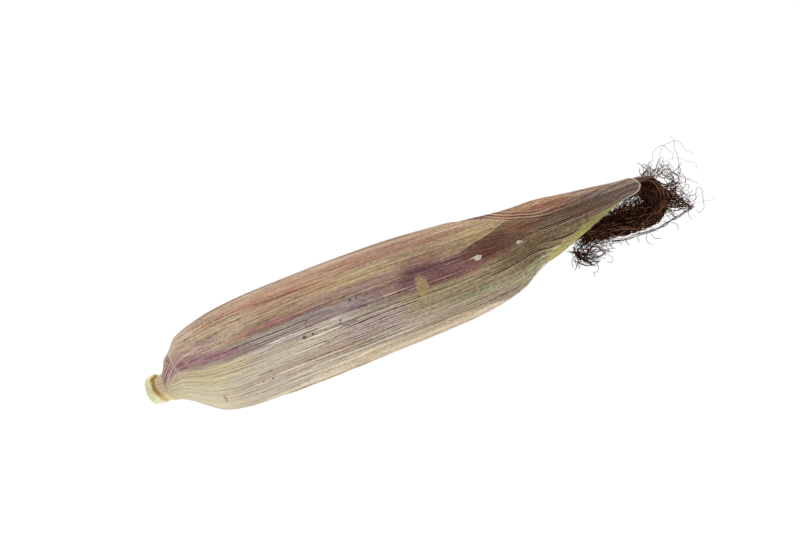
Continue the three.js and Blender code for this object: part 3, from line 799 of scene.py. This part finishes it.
def paintMarks(f, name, along, turn, edge):
    across = f.value("across")
    ragged = (f.grain(along * 0.7, across * 0.9, 8.0, 3.0) - 0.5) * 1.5
    place = f.node("ShaderNodeCombineXYZ", {}, {0: along + ragged * 0.3, 1: across + ragged * 0.3, 2: 0.0})
    # slanting wrinkles by the neck, and plum patches
    slant = (across - along * 0.85) * 3.2 + ragged * 3
    wrinkled = spotMask(f, place, marks["wrinkles"], ragged * 0.4)
    wrinkles = f.wave(slant)
    f.over(f.fade(wrinkles, -0.1, 0.9) * wrinkled * 0.6, leafLook["plum"])
    f.over(f.fade(wrinkles, -0.2, -1.0) * wrinkled * 0.5, leafLook["ridge"])
    for plum in marks["plums"]:
        f.over(spotMask(f, place, plum, ragged * 1.2) * 0.5, leafLook["plum"])
    f.over(f.value("ridge") * 0.65, leafLook["ridge"])
    if name != "husk_front":
        return
    # the lines beside the crease: dark red veins with painted shade in the folds, and painted highlights
    # between them
    creaseOff = f.value("creaseOff")
    patchy = f.grain(along / 12, creaseOff * 0.6, 3.0, 3.0, 0.7)
    reach = f.fade(along, 186, 194) * f.fade(along, 250, 218) * (f.fade(patchy, 0.35, 0.6) * 0.4 + 0.6)
    beside = f.fade(creaseOff, -0.9, 0.1) * f.fade(creaseOff, 6.0, 2.0)
    uneven = creaseOff + (f.grain(along / 30, creaseOff * 0.5, 3.0) - 0.5) * 2.4
    comb = f.wave(uneven * (2 * math.pi / leafLook["creaseLines"]))
    f.over(f.fade(comb, 0.1, 0.9) * reach * beside * 0.95, leafLook["creaseVeinShade"])
    f.over(f.fade(comb, -0.2, -0.9) * reach * beside * 0.85, leafLook["creaseHighlight"])
    # the margins: cream along the body, lime past it, whitish round the tip
    firstSide = f.fade(turn, -24, -30)
    cream = f.fade(along, 48, 70) * f.fade(along, 190, 112) * f.fade(edge, 1.2, 0.4) * firstSide
    f.over(cream * 0.85, leaves[name]["margin"])
    lime = f.fade(along, 200, 216) * f.fade(along, 268, 256) * f.fade(edge, 0.9, 0.3) * firstSide
    f.over(lime * 0.7, leafLook["limeMargin"])
    tip = f.fade(along, 264, 273) * f.fade(edge, 1.6, 0.6)
    f.over(tip * 0.75, leafLook["tipMargin"])
    # what has happened to the leaf
    weave = f.grain(along * 1.5, across * 0.5, 5.0, 3.0, 0.7)
    scar = spotMask(f, place, marks["scar"], ragged * 1.1) * f.fade(across, -12, -4)
    raw = f.blend(f.fade(weave, 0.4, 0.6), leafLook["scar"][1], leafLook["scar"][0])
    f.over(scar * (f.fade(weave, 0.28, 0.5) * 0.5 + 0.3), raw)
    for x, y, r in marks["spots"]:
        dot = spotMask(f, place, (x, y, r, 0.85 * r), ragged * 0.25)
        f.over(dot * 0.85, leafLook["spot"])
    for spot in marks["eaten"]:
        f.over(spotMask(f, place, spot, ragged * 0.5) * 0.92, leafLook["eaten"])
    f.over(spotMask(f, place, marks["tick"], ragged * 0.4) * 0.6, leafLook["tick"])
    for (ax, ay), (bx, by) in zip(marks["crack"], marks["crack"][1:]):
        crack = spotMask(f, place, ((ax + bx) / 2, (ay + by) / 2, 0.45, 1.9), ragged * 0.4)
        f.over(crack * 0.55, leafLook["crack"])


for leafName, leafParts in leaves.items():
    buildLeaf(leafName, leafParts)

# The cut stalk: (radius, along), from the middle of the cut face round the lip to the hidden end.
shank = {
    "profile": [
        (0, 0.5), (2.4, 0.3), (4.4, 0.1), (6.1, 0.8), (7.4, 2.2), (8.0, 4), (8.05, 5.4), (7.75, 6.4),
        (7.4, 7.1), (7.6, 7.8), (8.1, 8.5), (8.4, 9.6), (8.6, 11), (8.2, 12.2), (7.2, 13), (7.1, 20),
        (7, 28), (5.5, 30.6), (0, 31),
    ],
    "height": 24.7,  # of its middle
    "rows": 120, "columns": 120,
    "uneven": 0.18, "fibres": 0.12, "cutUneven": 0.22, "ringUneven": 0.3,  # heights in mm
    "flatter": 1.5,  # how much of the neck is missing on its far side
    "ringAt": 7.2,
    "bend": [  # the turn round the shank, and how far the ring comes towards the cut end there
        (-180, -1.5), (-95, -2.6), (-70, -2), (-40, -0.4), (-10, 1.2), (20, 1.9), (45, 1.9), (65, 0.8),
        (85, -1.2), (180, -1.5),
    ],
    "skin": "d6cf9c", "pale": "e8e3c4", "green": "cdd296", "neck": "ccb68e", "rose": "a98476",
    # the ring's dark brown: partly its own colour, partly painted shade in its groove
    "ring": "8f6426", "ochre": "c4a45c", "cut": "d9d3a4", "pith": "c2b27c",
    "roughness": 0.35, "bumpDepth": 0.25,
}


def buildShank():
    share = np.linspace(0, 1, shank["rows"])
    radius, along = curve(shank["profile"], share).T
    angle = np.linspace(0, 2 * math.pi, shank["columns"], endpoint=False)
    radius = np.repeat(np.maximum(radius, 0)[:, None], len(angle), 1)
    along = np.repeat(along[:, None], len(angle), 1)
    spin = np.repeat(angle[None, :], len(share), 0)
    level = along.copy()
    face = ease(6.4, 4.6, radius) * ease(6, 3, along)
    uneven = ripple(41, np.cos(spin) * 8 + along, np.sin(spin) * 8, 9, 9) * shank["uneven"]
    fibres = shank["fibres"] * np.cos(spin * 22 + np.sin(spin * 3)) * ease(7, 10, along)
    radius += (uneven + fibres) * ease(0.5, 5, radius)
    # past the ring the neck is flatter on the far side
    far = np.maximum(np.sin(spin), 0) ** 2
    radius -= shank["flatter"] * far * ease(5.5, 8, level)
    grain = ripple(42, radius * np.cos(spin), radius * np.sin(spin), 2.2, 2.2, 14)
    along += face * (shank["cutUneven"] * grain)
    # the ring bends to the cut end on top, and away from it at both sides
    bend = smoothLine(shank["bend"])((np.degrees(spin) + 180) % 360 - 180)
    bend += shank["ringUneven"] * ripple(43, np.cos(spin) * 8, np.sin(spin) * 8, 7, 7)
    along -= bend * ease(2.5, 6.5, level) * ease(15, 8.5, level)
    across, up = shankAxis + radius * np.sin(spin), shank["height"] + radius * np.cos(spin)
    points = np.stack([np.maximum(along, 0), across, up], -1)
    # without the first ring and the last one, which are one point each
    rows, columns = along.shape
    faces = closedRings(rows - 2, columns)
    keep = np.arange(columns, (rows - 1) * columns)
    values = [("level", level), ("spin", np.degrees(spin)), ("face", face)]
    values = [(key, numbers.ravel()[keep]) for key, numbers in values]
    piece = newPiece("shank_stub", "shank", points.reshape(-1, 3)[keep], faces, values)
    f = Finish("shank_finish")
    level, face, spin = (f.value(key) for key in ("level", "face", "spin"))
    mottle = f.speckle(260.0, 4.0)
    fibre = f.speckle(1400.0)
    grooves = f.grain(level * 0.12, spin * 0.16, 3.0, 3.0)
    f.colour = f.blend(f.fade(mottle, 0.35, 0.65), shank["skin"], shank["pale"])
    f.over(f.fade(level, 5.5, 1.5) * 0.5, shank["green"])
    neck = f.blend(f.fade(grooves, 0.46, 0.64) * 0.8, shank["neck"], shank["rose"])
    nearSide = f.wave((spin + 75) * (math.pi / 180))
    neck = f.blend(f.fade(nearSide, 0.2, 1.0) * 0.6, neck, shank["skin"])
    f.over(f.fade(level, 7.6, 9.2), neck)
    ragged = level + (mottle - 0.5) * 2.4
    fromRing = f.off(ragged - shank["ringAt"])
    f.over(f.fade(fromRing, 2.6, 0.4) * 0.85, shank["ochre"])
    # the dark brown line in the ring's groove, left off the near side: partly the ring's own colour, partly
    # painted shade in the groove
    ring = f.fade(fromRing, 1.4, 0.3) * f.fade(nearSide, 1.0, 0.3)
    f.over(ring * 0.85, shank["ring"])
    cut = f.blend(f.fade(fibre, 0.4, 0.65), shank["cut"], shank["pith"])
    f.over(face, cut)
    height = mottle * 0.6 + grooves * 0.8 + fibre * (face * 0.8 + 0.2)
    f.use(piece, mottle * 0.3 + shank["roughness"], height, shank["bumpDepth"])


buildShank()

# The ear inside: its radius from end to end, and its rows of kernels.
ear = {
    "radius": [
        (31.5, 9), (36, 16), (46, 19.6), (70, 21.8), (130, 21.8), (170, 19.4), (195, 16.4), (209, 12),
        (217, 7.4), (221, 2.4),
    ],
    "kernelRows": 14, "kernelLength": 5.4, "groove": 1.1,
    "uneven": 0.2,  # how much the kernels differ in height
    "ringsPerKernel": 6, "columnsPerKernel": 9,
    "skin": "3d1a2b", "light": "6b3048", "gap": "b9a07a",
    "roughness": 0.2, "bumpDepth": 0.15,
}


def buildEar():
    radiusAt = smoothLine(ear["radius"])
    start, end = ear["radius"][0][0], ear["radius"][-1][0]
    rings = int((end - start) / ear["kernelLength"]) * ear["ringsPerKernel"] + 1
    columns = ear["kernelRows"] * ear["columnsPerKernel"]
    along = np.repeat(np.linspace(start, end, rings)[:, None], columns, 1)
    spin = np.repeat(np.linspace(0, 360, columns, endpoint=False)[None, :], rings, 0)
    row = spin / 360 * ear["kernelRows"]
    shift = 0.5 * (np.floor(row) % 2) + 0.15 * np.sin(np.floor(row) * 2.1)
    seat = (along - start) / ear["kernelLength"] + shift
    kernel = np.floor(row) * 97 + np.floor(seat)  # a number of its own for each kernel
    sideways, lengthways = np.abs(row % 1 - 0.5) * 2, np.abs(seat % 1 - 0.5) * 2
    dome = (1 - sideways ** 4) * (1 - lengthways ** 4)
    radius = radiusAt(along) - ear["groove"] * (1 - dome) - ear["uneven"] * (np.sin(kernel * 12.9) + 1)
    radius = np.maximum(radius, 0.6)
    across = middleAt(along) + radius * np.sin(np.radians(spin))
    up = middleHeightAt(along) + radius * np.cos(np.radians(spin))
    values = [("dome", dome.ravel()), ("kernel", (np.sin(kernel * 78.2) * 0.5 + 0.5).ravel())]
    points = np.stack([along, across, up], -1).reshape(-1, 3)
    piece = newPiece("ear_kernels", "ear", points, closedRings(*along.shape), values)
    f = Finish("ear_finish")
    dome, kernel = f.value("dome"), f.value("kernel")
    mottle = f.speckle(300.0, 3.0)
    f.colour = f.blend(kernel * 0.6 + mottle * 0.3, ear["skin"], ear["light"])
    f.over(f.fade(dome, 0.35, 0.05), ear["gap"])
    f.use(piece, mottle * 0.25 + ear["roughness"], mottle, ear["bumpDepth"])


buildEar()


def unit(ways):  # the same ways, each with a length of one
    return ways / (np.linalg.norm(ways, axis=-1, keepdims=True) + 1e-9)


def tubes(paths, radii, sides=3):  # a closed thin tube along each path; paths: (strand, step, xyz)
    strands, steps = paths.shape[:2]
    tangents = unit(np.gradient(paths, axis=1))
    normal = np.cross(tangents[:, 0], [0.31, 0.52, 0.79])
    points = np.empty((strands, steps, sides, 3))
    for k in range(steps):
        normal = unit(normal - tangents[:, k] * np.sum(normal * tangents[:, k], 1, keepdims=True))
        other = np.cross(tangents[:, k], normal)
        for s in range(sides):
            turn = 2 * math.pi * s / sides
            ring = normal * math.cos(turn) + other * math.sin(turn)
            points[:, k, s] = paths[:, k] + ring * radii[:, k, None]
    start = np.arange(strands)[:, None, None] * steps * sides
    step = np.arange(steps - 1)[None, :, None] * sides
    a = start + step + np.arange(sides)
    b = start + step + (np.arange(sides) + 1) % sides
    quads = np.stack([a, b, b + sides, a + sides], -1).reshape(-1, 4).tolist()
    starts = (np.arange(strands) * steps * sides)[:, None]
    caps = (starts + np.arange(sides)[::-1]).tolist()
    caps += (starts + (steps - 1) * sides + np.arange(sides)).tolist()
    return points.reshape(-1, 3), quads + caps


# The dry silk. The hank's route is (along, across, up, radius); loose strands are points (along, across, up).
silk = {
    "hankRoute": [
        (223.5, 0.3, 23, 1.6), (240, 0.9, 21.8, 2.8), (256, 1.5, 20.5, 3), (270, 2.2, 19, 3),
        (279, 1.6, 17.6, 3.6), (284.2, -0.2, 15.6, 5.0), (286.2, -4.8, 13.6, 5.9), (285.6, -10, 11, 6.3),
        (281.4, -13, 9, 6.6), (275, -13.4, 7.8, 6.4), (268.6, -13.5, 7.2, 6), (261.8, -12.5, 6.8, 6),
        (255.4, -11.7, 6.4, 5.4),
        (249.5, -12.4, 5.6, 3.2), (245.5, -12.6, 5, 1.6), (242, -13, 4.4, 0.8),
    ],
    "locks": 90, "lockStrands": 6, "bridgeStrands": 140, "fuzzStrands": 130,
    "fringeStrands": 120, "curlStrands": 60, "topStrands": 44, "lowerStrands": 110,
    "radius": 0.19,  # a strand's, at its thickest
    "strandSteps": 37,  # points along each strand
    "coreWidth": 0.7,  # of the hank's
    "knot": (304, -18.4, 6),
    "lowerKnot": (238, -19.4, 4), "lowerKnotStrands": 28,
    "clearance": 0.35,  # the least height of a strand's middle
    # boxes that strands start in, as the lowest corner and the highest one
    "bridgeBox": ((256, -4, 13), (284, 0, 16)),
    "curlBox": ((295, -16, 6), (303, 4, 13)),
    "topBox": ((284, 3, 12), (297, 6, 17)),
    "lowerBox": ((234, -21, 1.5), (258, -13, 6)),
    "strays": [
        [(290, 6, 14), (294.5, 10, 15), (297, 15.4, 16), (303, 18, 16), (307, 16.8, 15), (311.4, 12.4, 13),
         (314.3, 7.2, 11)],
        [(297.4, 9.6, 14), (304.6, 8.8, 14), (309.8, 5.2, 12), (314, 1.6, 10), (313.7, -1, 8)],
        [(305.8, 21.4, 14), (306.2, 16, 14), (306, 11.8, 13), (303.5, 2.2, 12), (303.8, -1.4, 11),
         (300, -6, 10)],
        [(289, 7, 15), (294, 16, 15), (300, 17.4, 14), (304, 12, 12), (303, 8, 11)],
        [(304.4, -18.6, 6), (308.4, -13.6, 7), (311, -10, 8), (312.6, -14, 6), (310.6, -21, 4),
         (308, -23.4, 2), (306.4, -21, 2)],
        [(303, -17, 6), (312, -18.6, 7), (317, -19.4, 8)],
    ],
    "lowerStrays": [
        [(278, -21, 4), (276.4, -24.4, 2), (275.8, -27, 1.4), (277.6, -30, 1)],
        [(279, -21.4, 4), (279.2, -25, 2), (281.4, -27.8, 1.4), (284, -28.6, 1)],
        [(286, -20, 5), (291, -22, 4), (294, -25, 3), (293.4, -28, 2)],
        [(265, -20.6, 4), (265.4, -23.4, 2), (266.4, -25.6, 1)],
        [(246, -26.6, 3), (246.2, -30, 2), (245, -32, 1.4), (243, -31.8, 1.2), (242.6, -34.4, 1)],
        [(252, -24, 3), (255, -28, 2), (253.6, -30.4, 1), (251.6, -28.8, 1)],
    ],
    "ropes": [
        [(305.2, -18.8, 6), (298, -20.8, 5.4), (291.6, -21.4, 5), (282.4, -22.6, 4), (270.8, -22.6, 3.4),
         (260.6, -20.8, 3.4), (254.7, -18.8, 4)],
        [(305.2, -18.4, 6), (296, -20.2, 5), (288, -22.6, 4), (279, -22, 3.6), (269, -21.6, 3.4),
         (258, -19.4, 3.6)],
        [(305.4, -19, 6), (301.6, -16, 9), (299.2, -11.4, 10), (297, -6.6, 11), (296, -2.6, 12)],
        [(305.2, -19, 6), (301, -17.2, 8), (297.4, -14, 9), (292.4, -12, 10)],
        [(304.6, -19.6, 6), (300, -19.6, 7), (297.4, -16.8, 8), (293, -14.6, 9)],
    ],
    "lowerRopes": [
        [(234, -15.8, 5), (237.4, -19.2, 4), (240, -23.6, 3), (242.4, -26, 2.4), (246.2, -26.6, 2.4)],
        [(237, -15, 5), (238.4, -19.6, 4), (240.6, -24, 3), (243, -27, 2)],
        [(237.6, -19, 4), (240, -17, 4), (244, -15, 4.6)],
        [(237, -16, 5), (238, -20, 4), (241, -23, 3), (247, -24.6, 2), (253, -25, 2)],
        [(240, -23, 3), (244, -20, 4), (249, -18, 4.4), (254, -19, 4)],
        [(235, -22, 3), (238, -25, 2.4), (242, -27.6, 2), (248, -27.6, 1.6)],
    ],
    # the gold: partly lighter strands, partly painted highlights on the silk
    "dark": "1f0e07", "brown": "5a2e17", "goldAndHighlight": "9a7350",
    "roughness": 0.45, "bumpDepth": 0.08, "gloss": 0.1,
}
strandShare = np.linspace(0, 1, silk["strandSteps"])


def wander(rng, paths, size, waves, rate):  # bends each path a little, its own way
    strands, steps = paths.shape[:2]
    share = np.linspace(0, 1, steps)[None, :, None]
    for _ in range(waves):
        way = rng.normal(size=(strands, 1, 3))
        beat = rate * rng.uniform(0.5, 1.6, (strands, 1, 1))
        phase = rng.uniform(0, 2 * math.pi, (strands, 1, 1))
        paths = paths + way * np.sin(2 * math.pi * beat * share + phase) * size / math.sqrt(waves)
    return paths


def walks(rng, starts, ways, lengths, tightness):  # curly loose strands
    here, way = np.array(starts, float), np.array(ways, float)
    way /= np.linalg.norm(way, axis=1, keepdims=True)
    level = here[:, 2].copy()
    axes = np.array([0.45, 0.45, 1.5])
    spin = rng.normal(size=here.shape) * axes
    places = [here]
    for _ in range(len(strandShare) - 1):
        spin = 0.93 * spin + 0.36 * rng.normal(size=here.shape) * axes
        step = (lengths / (len(strandShare) - 1))[:, None]
        way = way + np.cross(spin, way) * step * tightness
        way[:, 2] += 0.05 * (level - here[:, 2]) * step[:, 0]
        way /= np.linalg.norm(way, axis=1, keepdims=True)
        here = here + way * step
        here[:, 2] = np.maximum(here[:, 2], 0.3)
        places.append(here)
    return np.stack(places, 1)


def scatter(rng, low, high, count):  # places in a box
    return rng.uniform(low, high, (count, 3))


def lifted(paths):  # nothing goes through the ground
    paths[..., 2] = np.maximum(paths[..., 2], silk["clearance"])
    return paths


def bows(rng, starts, ends, low, high, waves, rate):  # paths that bend past a place in a box at the middle
    middles = (starts + ends) / 2 + scatter(rng, low, high, len(starts))
    t = strandShare[None, :, None]
    paths = starts[:, None] * (1 - t) ** 2 + 2 * middles[:, None] * t * (1 - t) + ends[:, None] * t * t
    return lifted(wander(rng, paths, 0.5, waves, rate))


def alongRoute(route, share):  # places on the route, with the ways sideways and up from it
    place = curve(route, share)
    ahead = curve(route, np.minimum(share + 0.01, 1)) - curve(route, share - 0.01)
    tangent = unit(ahead[..., :3])
    sideways = unit(np.cross(tangent, [0, 0, 1.0]))
    return place, sideways, np.cross(sideways, tangent)


def hankPaths(rng, locks, each):  # locks of strands that run along the route
    begin = rng.uniform(0.0, 0.68, (locks, 1))
    finish = np.minimum(begin + rng.uniform(0.22, 0.5, (locks, 1)), 1)
    share = begin + (finish - begin) * strandShare[None, :]
    place, sideways, above = alongRoute(silk["hankRoute"], share)
    angle = rng.uniform(0, 2 * math.pi, (locks, 1)) + rng.normal(0, 1.0, (locks, 1)) * strandShare
    out = np.sqrt(rng.uniform(0.45, 0.92, (locks, 1))) * place[..., 3]
    swing = sideways * np.cos(angle)[..., None] + above * np.sin(angle)[..., None]
    middles = wander(rng, place[..., :3] + swing * out[..., None], 0.9, 3, 2.5)
    paths = np.repeat(middles, each, 0) + rng.normal(0, 0.42, (locks * each, 1, 3))
    paths = wander(rng, paths, 0.55, 3, 3)
    # the hank's end comes apart
    apart = ease(0.78, 1, np.repeat(share, each, 0))[..., None]
    paths = paths + rng.normal(size=(locks * each, 1, 3)) * (2.6, 2.2, 1.0) * apart
    return lifted(wander(rng, paths, 0.16, 2, 9))


def strandPiece(name, node, rng, bundles, core=None):  # bundles: (paths, how thick) of one step count each
    allPoints, allFaces, tints = [], [], []
    total = 0
    for paths, thickness in bundles:
        count, steps = paths.shape[:2]
        share = np.linspace(0, 1, steps)
        taper = 0.4 + 0.6 * np.sin(math.pi * np.clip(share, 0.02, 0.98)) ** 0.4
        thick = silk["radius"] * thickness * rng.uniform(0.7, 1.3, (count, 1)) * taper[None, :]
        points, faces = tubes(paths, thick)
        allPoints.append(points)
        allFaces += [[i + total for i in face] for face in faces]
        tints.append(np.repeat(rng.uniform(0, 1, count), steps * 3))
        total += len(points)
    if core is not None:
        allPoints.append(core[0])
        allFaces += [[i + total for i in face] for face in core[1]]
        tints.append(np.zeros(len(core[0])))
    values = [("tint", np.concatenate(tints))]
    piece = newPiece(name, node, np.concatenate(allPoints), allFaces, values)
    f = Finish(name + "_finish")
    tint = f.value("tint")
    patches = f.speckle(240.0, 3.0)
    fine = f.speckle(1500.0)
    f.colour = f.blend(f.fade(tint + patches * 0.4, 0.4, 1.0), silk["dark"], silk["brown"])
    # gold over some strands: partly their lighter colour, partly painted highlights
    f.over(f.fade(tint + patches * 0.4, 1.0, 1.18) * 0.9, silk["goldAndHighlight"])
    roughness = patches * 0.4 + silk["roughness"]
    f.use(piece, roughness, fine, silk["bumpDepth"], Specular_IOR_Level=silk["gloss"])


def handPlaced(rng, lines, copies, spread):  # strands that follow points given one by one
    paths = np.stack([curve(line, strandShare) for line in lines for _ in range(copies)])
    return lifted(wander(rng, paths, spread, 2, 3))


def buildSilk():
    rng = np.random.default_rng(71)
    # the core that keeps the hank from being seen through
    share = np.linspace(0.05, 0.84, 100)
    route = curve(silk["hankRoute"], share)
    lumps = 1 + 0.16 * ripple(72, share * 300, 0 * share, 14, 1)
    radii = np.maximum(route[:, 3] * silk["coreWidth"] * lumps, 0.5)
    core = tubes(route[None, :, :3], radii[None, :], 20)
    core[0][:, 2] = np.maximum(core[0][:, 2], 0.5)
    hank = hankPaths(rng, silk["locks"], silk["lockStrands"])
    # from the husk's mouth straight down into the hank
    n = silk["bridgeStrands"]
    starts = scatter(rng, *silk["bridgeBox"], n)
    ends = curve(silk["hankRoute"], rng.uniform(0.56, 0.9, n))[:, :3] + rng.normal(0, 2.0, (n, 3))
    bridge = bows(rng, starts, ends, (0, -1, -0.5), (6, 1, 1.5), 3, 3)
    # loose loops that stand off the hank
    n = silk["fuzzStrands"]
    place, sideways, above = alongRoute(silk["hankRoute"], rng.uniform(0.42, 0.97, n))
    angle = rng.uniform(0, 2 * math.pi, (n, 1))
    starts = place[:, :3] + (sideways * np.cos(angle) + above * np.sin(angle)) * place[:, 3:] * 0.95
    fuzz = lifted(walks(rng, starts, rng.normal(size=(n, 3)) * (1, 1, 0.2), rng.uniform(4, 11, n), 0.3))
    bundles = [(hank, 1.0), (bridge, 0.8), (fuzz, 0.75)]
    strandPiece("silk_hank_strands", "silk_hank", rng, bundles, core)

    # past the tip: a fringe, most of which runs to the knot, curls round it, and short curls on top
    n = silk["fringeStrands"]
    place, sideways, above = alongRoute(silk["hankRoute"], rng.uniform(0.36, 0.55, n))
    starts = place[:, :3] + scatter(rng, (1, -1.5, -3), (5, 1.5, 3), n)
    ends = np.array(silk["knot"]) + rng.normal(0, 0.7, (n, 3))
    loose = rng.uniform(0, 1, n) < 0.85
    starts[loose] += scatter(rng, (0, -3, -3), (7, 3, 1), int(loose.sum()))
    ends[loose] = starts[loose] + scatter(rng, (1, -7, -3), (8, 1.5, 1), int(loose.sum()))
    fringe = bows(rng, starts, ends, (-2, -3, -1), (3.5, 3, 2), 3, 2.5)
    n = silk["curlStrands"]
    starts = scatter(rng, *silk["curlBox"], n)
    curls = walks(rng, starts, rng.normal(size=(n, 3)) * (1, 1, 0.3), rng.uniform(7, 15, n), 0.24)
    n = silk["topStrands"]
    starts = scatter(rng, *silk["topBox"], n)
    ways = np.stack([rng.normal(0, 0.6, n), rng.uniform(0.3, 1, n), rng.uniform(-0.2, 0.3, n)], -1)
    tops = walks(rng, starts, ways, rng.uniform(5, 12, n), 0.3)
    strays = handPlaced(rng, silk["strays"], 1, 0.45)
    ropes = handPlaced(rng, silk["ropes"], 2, 0.4)
    bundles = [(fringe, 0.95), (curls, 0.85), (tops, 0.9), (strays, 0.62), (ropes, 1.1)]
    strandPiece("silk_end_strands", "silk_end_tuft", rng, bundles)

    # the loose net under the hank
    n = silk["lowerStrands"]
    starts = scatter(rng, *silk["lowerBox"], n)
    knotted = silk["lowerKnotStrands"]
    starts[:knotted] = np.array(silk["lowerKnot"]) + rng.normal(size=(knotted, 3)) * (1.2, 1.5, 0.8)
    lean = rng.uniform(0, 1, (n, 1)) < 0.6
    along, down = scatter(rng, (4, -9, -2), (12, -1, 0), n), scatter(rng, (-6, -9, -2), (3, -3, 0), n)
    ends = starts + np.where(lean, along, down)
    lower = bows(rng, starts, ends, (-2.5, -2, -1), (2.5, 2, 1), 2, 1.4)
    ropes = handPlaced(rng, silk["lowerRopes"], 3, 0.5)
    strays = handPlaced(rng, silk["lowerStrays"], 1, 0.2)
    bundles = [(lower, 0.8), (ropes, 1.3), (strays, 0.85)]
    strandPiece("silk_lower_strands", "silk_lower_tuft", rng, bundles)


buildSilk()

# The stage: a plain pale floor, soft light from above and all round, and the camera over the ear.
stage = {
    "aim": (-8.6, 12.8, 26),  # in mm from the middle of the part, and from the ground
    "distance": 700, "turn": -22.1, "lens": 60.3,
    "sky": 0.67, "glow": 0.93, "floor": ("5a5a5a", "606060"),
    "floorReach": 3,  # in metres, to each side
    "lamps": [  # place and size in metres, and power
        ("key", (-0.3, -1.2, 0.5), 1.1, 8.3),
        ("fill", (0.35, 1.3, 0.5), 1.1, 9.1),
    ],
}


def buildStage():
    middle = (cadBox[0] + cadBox[1]) / 2
    aim = Vector([m + a * mm for m, a in zip((middle.x, middle.y, 0), stage["aim"])])
    camera = newObject("camera", bpy.data.cameras.new("camera"))
    camera.data.lens = stage["lens"]
    camera.data.clip_end = 20
    camera.location = aim + Vector((0, 0, stage["distance"] * mm))
    camera.rotation_euler = (0, 0, math.radians(stage["turn"]))
    bpy.context.scene.camera = camera
    bpy.context.scene.view_settings.view_transform = "Standard"

    mesh = bpy.data.meshes.new("floor")
    reach = stage["floorReach"]
    corners = [(-reach, -reach, 0), (reach, -reach, 0), (reach, reach, 0), (-reach, reach, 0)]
    mesh.from_pydata(corners, [], [(0, 1, 2, 3)])
    floor = newObject("floor", mesh)
    f = Finish("floor_finish")
    cloud = f.speckle(3.0)
    f.colour = f.blend(cloud, *stage["floor"])
    f.use(floor, 0.9, cloud, 0.01, Emission_Color=(1, 1, 1, 1), Emission_Strength=stage["glow"])

    world = bpy.data.worlds.new("sky")
    bpy.context.scene.world = world
    world.use_nodes = True
    world.node_tree.nodes["Background"].inputs["Color"].default_value = (1, 1, 1, 1)
    world.node_tree.nodes["Background"].inputs["Strength"].default_value = stage["sky"]
    for lampName, place, size, power in stage["lamps"]:
        light = bpy.data.lights.new(lampName, "AREA")
        light.size = size
        light.energy = power
        lamp = newObject(lampName, light)
        lamp.location = place
        lamp.rotation_euler = (aim - Vector(place)).to_track_quat("-Z", "Y").to_euler()
    print("stage set")


buildStage()
